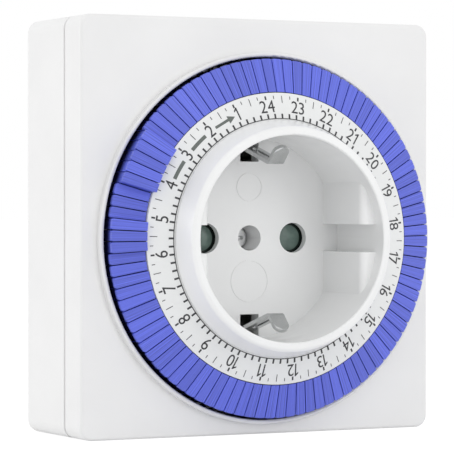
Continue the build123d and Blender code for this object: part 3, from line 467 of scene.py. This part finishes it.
def figure_mesh(figure):
    """Thin flat solid of one figure, its foot at zero height."""
    if figure == "1":
        curve = bpy.data.curves.new("figure", "CURVE")
        curve.dimensions = "2D"
        curve.fill_mode = "BOTH"
        spline = curve.splines.new("POLY")
        spline.points.add(len(FIGURE_ONE) - 1)
        spline.use_cyclic_u = True
        for point, (across, up) in zip(spline.points, FIGURE_ONE):
            point.co = (across * DIGIT_HEIGHT / DIGIT_WIDTH, up * DIGIT_HEIGHT, 0, 1)
    else:
        curve = bpy.data.curves.new("figure", "FONT")
        curve.body = figure
        curve.size = DIGIT_HEIGHT / FONT_CAP_SHARE
        curve.resolution_u = 3
    curve.extrude = (PRINT_HEIGHT + PRINT_SINK) / 2
    flat = bpy.data.objects.new("figure", curve)
    bpy.context.scene.collection.objects.link(flat)
    bpy.context.view_layer.update()
    mesh = bpy.data.meshes.new_from_object(flat)
    bpy.data.objects.remove(flat)
    return mesh


def print_numeral(hour):
    """An hour's number, its top outwards, bent onto the scale."""
    points = []
    faces = []
    width = 0.0
    for figure in str(hour):
        mesh = figure_mesh(figure)
        left = min(vertex.co.x for vertex in mesh.vertices)
        faces += [[len(points) + index for index in face.vertices] for face in mesh.polygons]
        if points:
            width += FIGURE_GAP
        points += [Vector((vertex.co.x - left + width, *vertex.co.yz)) for vertex in mesh.vertices]
        width = max(point.x for point in points)
    turn = math.radians(clock_of(hour))
    along = Vector((math.sin(turn), 0, math.cos(turn)))
    sideways = Vector((math.cos(turn), 0, -math.sin(turn)))
    places = []
    for across, up, out in points:
        radius = DIGIT_MIDDLE - DIGIT_HEIGHT / 2 + up
        place = along * radius + sideways * (across - width / 2) * DIGIT_WIDTH
        place.y = scale_y(place.length) - out - (PRINT_HEIGHT - PRINT_SINK) / 2
        places.append(place)
    mesh = bpy.data.meshes.new(f"numeral_{hour:02d}")
    mesh.from_pydata(places, [], faces)
    mesh.materials.append(PRINT)
    piece = bpy.data.objects.new(mesh.name, mesh)
    bpy.context.scene.collection.objects.link(piece)
    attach(piece, "dial")


print_ticks()
print_line()
print_dashes()
for hour in range(1, HOURS + 1):
    print_numeral(hour)


# ---- Floor, light and camera -------------------------------------------------------------
FLOOR_Z = cad_box[0][2]
FLOOR_SIZE = 12.0
FLOOR_TONES = ((0.90, 0.90, 0.90), (0.93, 0.93, 0.93))
BACKDROP_WHITE = 1.15
BACKDROP_SHARE = 0.82
WORLD_LIGHT = 0.90
WORLD_SEEN = 1.0
LAMP_TARGET = Vector((0, -0.03, 0))
# Place and size in metres, and power in watts, of each square lamp.
LAMPS = {
    "key": ((-0.05, -0.70, 0.65), 0.5, 0.75),
    "side": ((-0.80, 0.30, 0.15), 0.5, 1.5),
    "fill": ((0.35, -0.85, 0.15), 0.6, 0.8),
}
CAMERA_TARGET = Vector((-8.33 * MM, -42.8 * MM, 2.20 * MM))
CAMERA_DISTANCE = 507.6 * MM
CAMERA_TURN = 27.12
CAMERA_DOWN = 0.5
CAMERA_LENS = 213.04
CAMERA_SENSOR = 36.0


def seen_rays(shader):
    """1 for rays that show a background: from the camera, or through gloss and glass."""
    path = shader.nodes.new("ShaderNodeLightPath")
    total = path.outputs["Is Camera Ray"]
    for output in ("Is Glossy Ray", "Is Transmission Ray"):
        joined = shader.nodes.new("ShaderNodeMath")
        joined.operation = "MAXIMUM"
        shader.links.new(total, joined.inputs[0])
        shader.links.new(path.outputs[output], joined.inputs[1])
        total = joined.outputs[0]
    return total


def make_floor():
    """Pale floor that keeps the object's shadow and shows nearly white."""
    made = Shader("floor")
    tree = made.tree
    speckle = made.noise(40 * MM, 3)
    made.set(Base_Color=made.ramp(speckle, *FLOOR_TONES), Roughness=0.9)
    glow = made.node("ShaderNodeEmission", Strength=BACKDROP_WHITE)
    glow.inputs["Color"].default_value = (1, 1, 1, 1)
    share = made.math("MULTIPLY", seen_rays(tree), BACKDROP_SHARE)
    mixed = made.node("ShaderNodeMixShader", Fac=share)
    tree.links.new(made.main.outputs[0], mixed.inputs[1])
    tree.links.new(glow.outputs[0], mixed.inputs[2])
    tree.links.new(mixed.outputs[0], tree.nodes["Material Output"].inputs["Surface"])
    half = FLOOR_SIZE / 2
    mesh = bpy.data.meshes.new("floor")
    corners = ((-half, -half), (half, -half), (half, half), (-half, half))
    mesh.from_pydata([(x, y, FLOOR_Z) for x, y in corners], [], [(0, 1, 2, 3)])
    mesh.materials.append(made.material)
    floor = bpy.data.objects.new("floor", mesh)
    bpy.context.scene.collection.objects.link(floor)


def make_world():
    """Even light from all round, shown as plain white."""
    world = bpy.data.worlds.new("studio")
    world.use_nodes = True
    tree = world.node_tree
    background = tree.nodes["Background"]
    background.inputs["Color"].default_value = (1, 1, 1, 1)
    strength = tree.nodes.new("ShaderNodeMapRange")
    tree.links.new(seen_rays(tree), strength.inputs["Value"])
    strength.inputs["To Min"].default_value = WORLD_LIGHT
    strength.inputs["To Max"].default_value = WORLD_SEEN
    tree.links.new(strength.outputs[0], background.inputs["Strength"])
    bpy.context.scene.world = world


def make_lamp(name, place, size, power):
    data = bpy.data.lights.new(name, "AREA")
    data.size = size
    data.energy = power
    lamp = bpy.data.objects.new(name, data)
    lamp.location = place
    direction = LAMP_TARGET - lamp.location
    lamp.rotation_euler = direction.to_track_quat("-Z", "Y").to_euler()
    bpy.context.scene.collection.objects.link(lamp)


def make_camera():
    """A long lens that looks at the front from the left, slightly downwards."""
    data = bpy.data.cameras.new("camera")
    data.lens = CAMERA_LENS
    data.sensor_width = CAMERA_SENSOR
    data.clip_start = 0.01
    camera = bpy.data.objects.new("camera", data)
    turn = math.radians(CAMERA_TURN)
    down = math.radians(CAMERA_DOWN)
    forward = Vector((
        math.sin(turn) * math.cos(down),
        math.cos(turn) * math.cos(down),
        -math.sin(down),
    ))
    camera.location = CAMERA_TARGET - CAMERA_DISTANCE * forward
    camera.rotation_euler = (math.radians(90) - down, 0, -turn)
    bpy.context.scene.collection.objects.link(camera)
    bpy.context.scene.camera = camera


make_floor()
make_world()
for name, (place, size, power) in LAMPS.items():
    make_lamp(name, place, size, power)
make_camera()
bpy.context.scene.view_settings.view_transform = "Standard"
